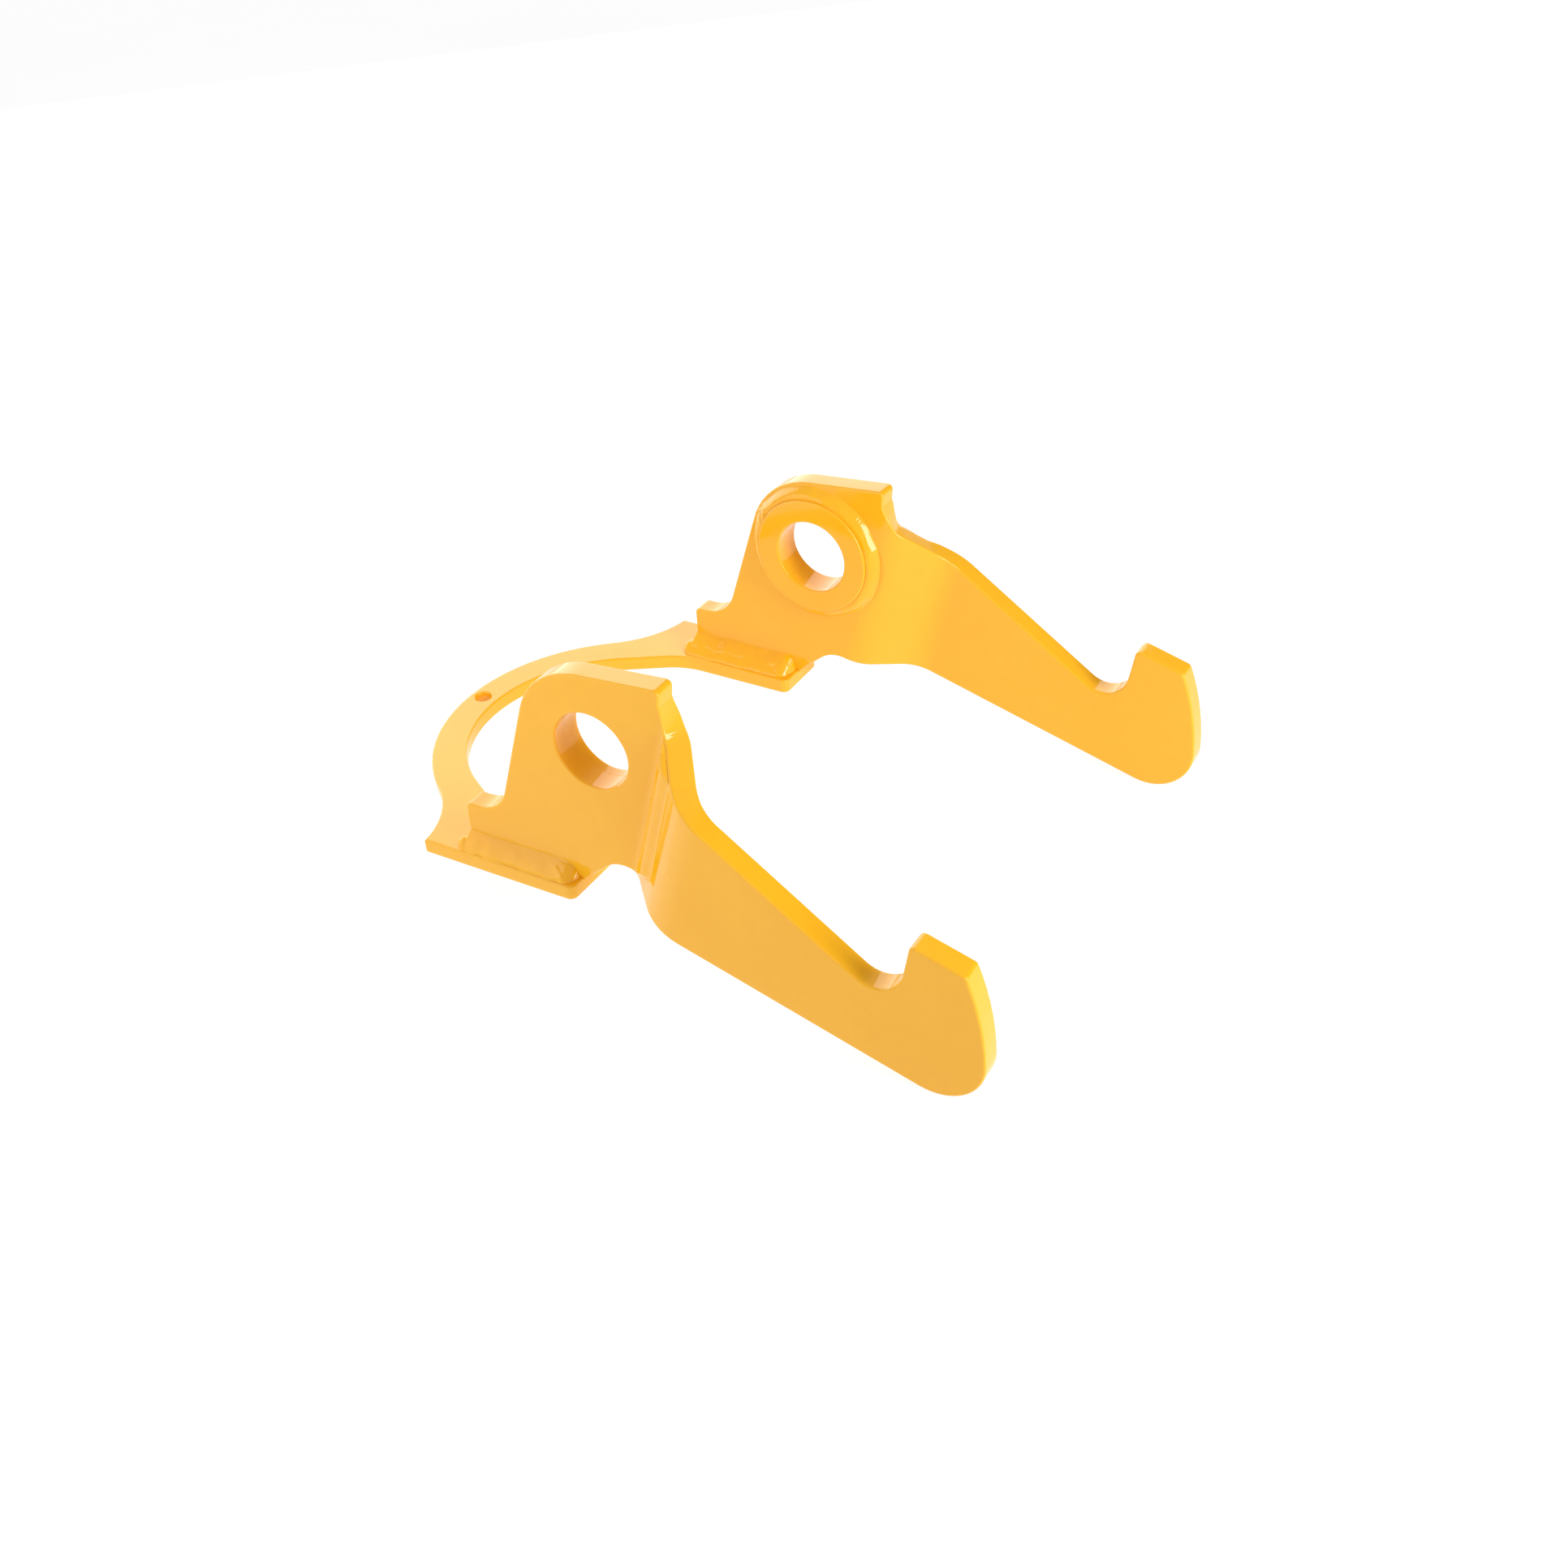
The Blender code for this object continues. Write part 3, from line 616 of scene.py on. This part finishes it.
def gloss_paint(name, colour, deep, shade_strength, cut_axis=None):
    """Thick gloss enamel: slow colour drift, orange peel and a clear, slightly wavy coat.

    The fourth argument sets how strongly painted shade darkens the corners and recesses. cut_axis
    is the thickness direction of a plate, along which its flame-cut edges are lined.
    """
    nodes = Nodes(name)
    shader = nodes.shader
    drift = nodes.remap(nodes.noise(DRIFT_SCALE, 3.0), 0.35, 0.65, 0.0, 1.0)
    body = nodes.mix(drift, colour, deep)
    mottle = nodes.remap(nodes.noise(MOTTLE_SCALE, 4.0), 0.45, 0.75, 0.0, 0.3)
    body = nodes.mix(mottle, body, tuple(channel * 0.95 for channel in deep))
    # Painted highlight: the edges are painted paler, as a thin line of light along them; the coat
    # is also thinner there.
    edge_highlight = nodes.remap(edge_mask(nodes, EDGE_HIGHLIGHT_WIDTH), 0.0, 1.0, 0.0, 0.4)
    body = nodes.mix(edge_highlight, body, PAINT_EDGE_HIGHLIGHT)
    # Painted shade: the colour darkens in corners and recesses, wherever ambient occlusion finds
    # them
    hollow = nodes.add("ShaderNodeAmbientOcclusion", samples=4)
    hollow.inputs["Distance"].default_value = SHADE_REACH
    shade_share = nodes.remap(hollow.outputs["AO"], 0.9, 0.35, 0.0, shade_strength)
    body = nodes.mix(shade_share, body, PAINT_SHADE)
    nodes.link(body, shader.inputs["Base Color"])
    rough = nodes.remap(nodes.noise(BODY_SCALE, 3.0), 0.3, 0.7, *BODY_ROUGHNESS)
    nodes.link(rough, shader.inputs["Roughness"])
    shader.inputs["Coat Weight"].default_value = 1.0
    coat_rough = nodes.remap(nodes.noise(COAT_SCALE, 2.0), 0.3, 0.7, *COAT_ROUGHNESS)
    nodes.link(coat_rough, shader.inputs["Coat Roughness"])
    # Only the clear coat mirrors the studio; the pigment under it is matt.
    shader.inputs["Specular IOR Level"].default_value = 0.0
    waves = nodes.bump(nodes.noise(WAVE_SCALE, 1.0), WAVE_HEIGHT)
    normal = nodes.bump(nodes.noise(PEEL_SCALE, 1.0), PEEL_HEIGHT, waves)
    if cut_axis is not None:
        stretch = tuple(CUT_STRETCH if axis == cut_axis else 1.0 for axis in range(3))
        lines = nodes.noise(CUT_SCALE, 2.0, stretch)
        geometry = nodes.add("ShaderNodeNewGeometry")
        split = nodes.add("ShaderNodeSeparateXYZ")
        nodes.link(geometry.outputs["True Normal"], split.inputs["Vector"])
        face = nodes.add("ShaderNodeMath", operation="ABSOLUTE")
        nodes.link(split.outputs[cut_axis], face.inputs[0])
        on_edge = nodes.remap(face.outputs["Value"], 0.5, 0.3, 0.0, 1.0)
        height = nodes.add("ShaderNodeMath", operation="MULTIPLY")
        nodes.link(lines, height.inputs[0])
        nodes.link(on_edge, height.inputs[1])
        normal = nodes.bump(height.outputs["Value"], CUT_HEIGHT, normal)
    nodes.link(normal, shader.inputs["Normal"])
    nodes.link(normal, shader.inputs["Coat Normal"])
    return nodes.material


def floor_material():
    """Pale paper, lit from below like a light table, so that shadows on it stay faint.

    Seen from its underside it is clear, so that a camera under the floor sees the lever.
    """
    nodes = Nodes("studio_floor")
    grain = nodes.remap(nodes.noise(3.0, 4.0), 0.3, 0.7, 0.0, 1.0)
    body = nodes.mix(grain, FLOOR_DARK, FLOOR_LIGHT)
    nodes.link(body, nodes.shader.inputs["Base Color"])
    nodes.shader.inputs["Roughness"].default_value = FLOOR_ROUGHNESS
    nodes.shader.inputs["Specular IOR Level"].default_value = 0.0
    nodes.shader.inputs["Emission Color"].default_value = (1.0, 1.0, 1.0, 1.0)
    nodes.shader.inputs["Emission Strength"].default_value = FLOOR_GLOW
    geometry = nodes.add("ShaderNodeNewGeometry")
    clear = nodes.add("ShaderNodeBsdfTransparent")
    either = nodes.add("ShaderNodeMixShader")
    nodes.link(geometry.outputs["Backfacing"], either.inputs[0])
    nodes.link(nodes.shader.outputs[0], either.inputs[1])
    nodes.link(clear.outputs[0], either.inputs[2])
    nodes.link(either.outputs[0], nodes.tree.nodes["Material Output"].inputs["Surface"])
    return nodes.material


def smooth_shading():
    """A modifier tree that joins coincident points and shades all but the sharp edges smooth."""
    tree = bpy.data.node_groups.new("smooth_rounded_edges", "GeometryNodeTree")
    tree.interface.new_socket("Geometry", in_out="INPUT", socket_type="NodeSocketGeometry")
    tree.interface.new_socket("Geometry", in_out="OUTPUT", socket_type="NodeSocketGeometry")
    start = tree.nodes.new("NodeGroupInput")
    end = tree.nodes.new("NodeGroupOutput")
    merge = tree.nodes.new("GeometryNodeMergeByDistance")
    merge.inputs["Distance"].default_value = MERGE_DISTANCE
    faces = tree.nodes.new("GeometryNodeSetShadeSmooth")
    faces.domain = "FACE"
    edges = tree.nodes.new("GeometryNodeSetShadeSmooth")
    edges.domain = "EDGE"
    angle = tree.nodes.new("GeometryNodeInputMeshEdgeAngle")
    sharp = tree.nodes.new("FunctionNodeCompare")
    sharp.operation = "LESS_THAN"
    sharp.inputs[1].default_value = PLATE_SHARP
    link = tree.links.new
    link(start.outputs[0], merge.inputs["Geometry"])
    link(merge.outputs["Geometry"], faces.inputs["Geometry"])
    link(faces.outputs["Geometry"], edges.inputs["Geometry"])
    link(angle.outputs["Unsigned Angle"], sharp.inputs[0])
    link(sharp.outputs["Result"], edges.inputs["Shade Smooth"])
    link(edges.outputs["Geometry"], end.inputs[0])
    return tree


def dress(node, tree, material):
    """Give a carried-over plate its smooth shading and its paint."""
    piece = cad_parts[node]
    smooth = piece.modifiers.new("smooth", "NODES")
    smooth.node_group = tree
    weighted = piece.modifiers.new("weighted", "WEIGHTED_NORMAL")
    weighted.keep_sharp = True
    weighted.weight = CORNER_WEIGHT
    piece.data.materials.clear()
    piece.data.materials.append(material)


# ---------------------------------------------------------------- studio


def panel(name, centre, direction, distance, width, height, radiance):
    """A soft area light that faces the lever."""
    data = bpy.data.lights.new(name, "AREA")
    data.shape = "RECTANGLE"
    data.size = width
    data.size_y = height
    data.energy = radiance * math.pi * width * height
    light = bpy.data.objects.new(name, data)
    away = Vector(direction).normalized()
    light.location = centre + away * distance
    light.rotation_euler = away.to_track_quat("Z", "Y").to_euler()
    light.visible_camera = False
    bpy.context.collection.objects.link(light)


def room():
    """An even, pale room with one darker side, which the camera sees as plain white."""
    world = bpy.data.worlds.new("studio")
    world.use_nodes = True
    tree = world.node_tree
    background = tree.nodes["Background"]
    place = tree.nodes.new("ShaderNodeTexCoord")
    toward = tree.nodes.new("ShaderNodeVectorMath")
    toward.operation = "DOT_PRODUCT"
    toward.inputs[1].default_value = Vector(DARK_SIDE).normalized()
    level = tree.nodes.new("ShaderNodeMapRange")
    level.interpolation_type = "SMOOTHSTEP"
    for key, number in (
        ("From Min", math.cos(math.radians(DARK_REACH))),
        ("From Max", math.cos(math.radians(DARK_CORE))),
        ("To Min", ROOM_LEVEL),
        ("To Max", DARK_LEVEL),
    ):
        level.inputs[key].default_value = number
    path = tree.nodes.new("ShaderNodeLightPath")
    seen = tree.nodes.new("ShaderNodeMix")
    seen.data_type = "FLOAT"
    seen.inputs[3].default_value = 1.0
    tree.links.new(place.outputs["Generated"], toward.inputs[0])
    tree.links.new(toward.outputs["Value"], level.inputs["Value"])
    tree.links.new(path.outputs["Is Camera Ray"], seen.inputs["Factor"])
    tree.links.new(level.outputs["Result"], seen.inputs[2])
    tree.links.new(seen.outputs[0], background.inputs["Strength"])
    background.inputs["Color"].default_value = (1.0, 1.0, 1.0, 1.0)
    bpy.context.scene.world = world


def studio():
    """The floor, the room, the light panels and the view transform."""
    low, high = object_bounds()
    centre = (low + high) / 2
    bm = bmesh.new()
    bmesh.ops.create_grid(bm, x_segments=8, y_segments=8, size=FLOOR_HALF)
    mesh = bpy.data.meshes.new("studio_floor")
    bm.to_mesh(mesh)
    bm.free()
    mesh.materials.append(floor_material())
    floor = bpy.data.objects.new("studio_floor", mesh)
    floor.location = (centre.x, centre.y, low.z - FLOOR_GAP)
    bpy.context.collection.objects.link(floor)
    floor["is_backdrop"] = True
    room()
    for name, direction, *measures in PANELS:
        panel(name, centre, direction, *measures)
    bpy.context.scene.view_settings.view_transform = "Standard"


def camera():
    """A camera at the photograph's viewing angle, and the scene's active one."""
    data = bpy.data.cameras.new("camera")
    data.lens = LENS
    data.sensor_width = SENSOR
    data.shift_x, data.shift_y = SHIFT
    data.clip_start = 0.01
    data.clip_end = 50.0
    eye = bpy.data.objects.new("camera", data)
    back = CAMERA_BACK.normalized()
    up = back.cross(CAMERA_RIGHT).normalized()
    axes = Matrix((up.cross(back), up, back)).transposed()
    eye.matrix_world = Matrix.LocRotScale(pivot_point() + CAMERA_OFFSET, axes.to_quaternion(), None)
    bpy.context.collection.objects.link(eye)
    bpy.context.scene.camera = eye


def build():
    arm_paint = gloss_paint("arm_paint", PAINT, PAINT_DEEP, PLATE_SHADE, cut_axis=1)
    yoke_paint = gloss_paint("yoke_paint", PAINT, PAINT_DEEP, PLATE_SHADE, cut_axis=2)
    boss_paint = gloss_paint("boss_paint", PAINT, PAINT_DEEP, PLATE_SHADE)
    weld_paint = gloss_paint("weld_paint", WELD_PAINT, WELD_DEEP, WELD_SHADE)
    tree = smooth_shading()
    dress("yoke_plate", tree, yoke_paint)
    for side, label in SIDES:
        dress(f"hook_arm_{label}", tree, arm_paint)
        dress(f"pivot_boss_{label}", tree, boss_paint)
        seed = 2 + side
        yoke_bead(label, side, 1, seed, weld_paint)
        yoke_bead(label, side, -1, seed + 11, weld_paint)
        boss_bead(label, side, seed + 23, weld_paint)
        jog_bead(label, side, seed + 37, weld_paint)
        foot_root(label, side, weld_paint)
    studio()
    camera()


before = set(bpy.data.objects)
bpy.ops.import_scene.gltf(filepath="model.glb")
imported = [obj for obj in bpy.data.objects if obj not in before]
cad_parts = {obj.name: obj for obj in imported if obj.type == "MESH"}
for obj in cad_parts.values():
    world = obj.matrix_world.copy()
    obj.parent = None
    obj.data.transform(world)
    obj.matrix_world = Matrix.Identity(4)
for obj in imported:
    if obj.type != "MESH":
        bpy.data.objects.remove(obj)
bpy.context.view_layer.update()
build()
